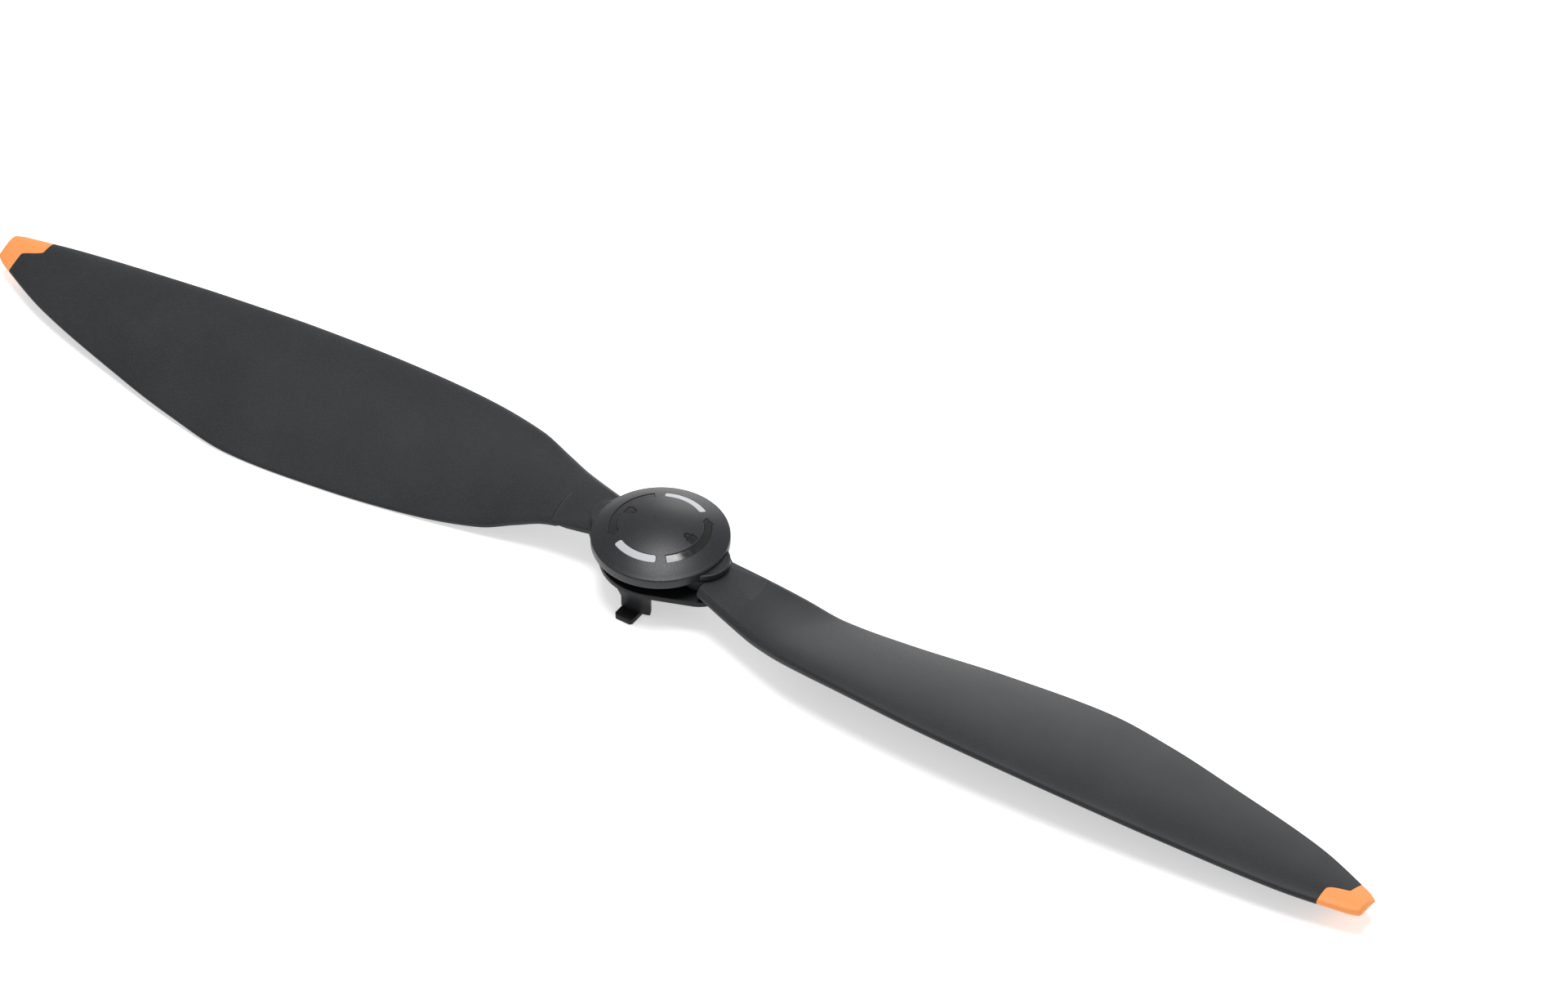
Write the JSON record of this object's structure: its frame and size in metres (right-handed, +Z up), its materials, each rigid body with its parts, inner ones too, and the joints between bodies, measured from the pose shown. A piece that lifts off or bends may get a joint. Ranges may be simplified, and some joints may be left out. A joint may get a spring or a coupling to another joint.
{
  "type": "folding drone propeller",
  "caption": "Folding drone propeller: twisted blades with bright tips hinged in a domed quick-release hub with bayonet claws.",
  "frame": {"origin": "centre of the motor bore at its mouth, on the face that sits on the motor", "axes": "+Z up the hub axis, away from the motor; +X along blade A, through both hinge axes; turns clockwise seen from +Z"},
  "size_m": [0.28, 0.0296, 0.0143],
  "materials": {
    "blade_black": "fine-grained matte charcoal",
    "tip_orange": "satin orange",
    "cap_black": "spark-textured matte charcoal",
    "base_black": "matte charcoal",
    "mark_grey": "satin light grey",
    "mark_gloss": "polished black",
    "steel": "turned steel",
    "screw_steel": "black zinc plate",
    "washer_plastic": "low-friction plastic film"
  },
  "bodies": {
    "hub": {"hub_base": "base_black", "hub_cap": "cap_black", "pivot_sleeve_a": "steel", "pivot_sleeve_b": "steel", "pivot_screw_a": "screw_steel", "pivot_screw_b": "screw_steel", "lower_washer_a": "washer_plastic", "lower_washer_b": "washer_plastic", "upper_washer_a": "washer_plastic", "upper_washer_b": "washer_plastic", "grey_arc_near": "mark_grey", "grey_arc_far": "mark_grey", "lock_arrow_a": "mark_gloss", "lock_arrow_b": "mark_gloss", "padlock_mark_a": "mark_gloss", "padlock_mark_b": "mark_gloss"},
    "blade_a_body": {"blade_a": "blade_black", "blade_tip_a": "tip_orange"},
    "blade_b_body": {"blade_b": "blade_black", "blade_tip_b": "tip_orange"}
  },
  "joints": [
    {"name": "blade_a_fold", "type": "hinge", "parent": "hub", "child": "blade_a_body", "pos_m": [0.009, 0, 0.00305], "axis": [0, 0, 1], "range_deg": [-90, 90]},
    {"name": "blade_b_fold", "type": "hinge", "parent": "hub", "child": "blade_b_body", "pos_m": [-0.009, 0, 0.00305], "axis": [0, 0, 1], "range_deg": [-90, 90]}
  ]
}
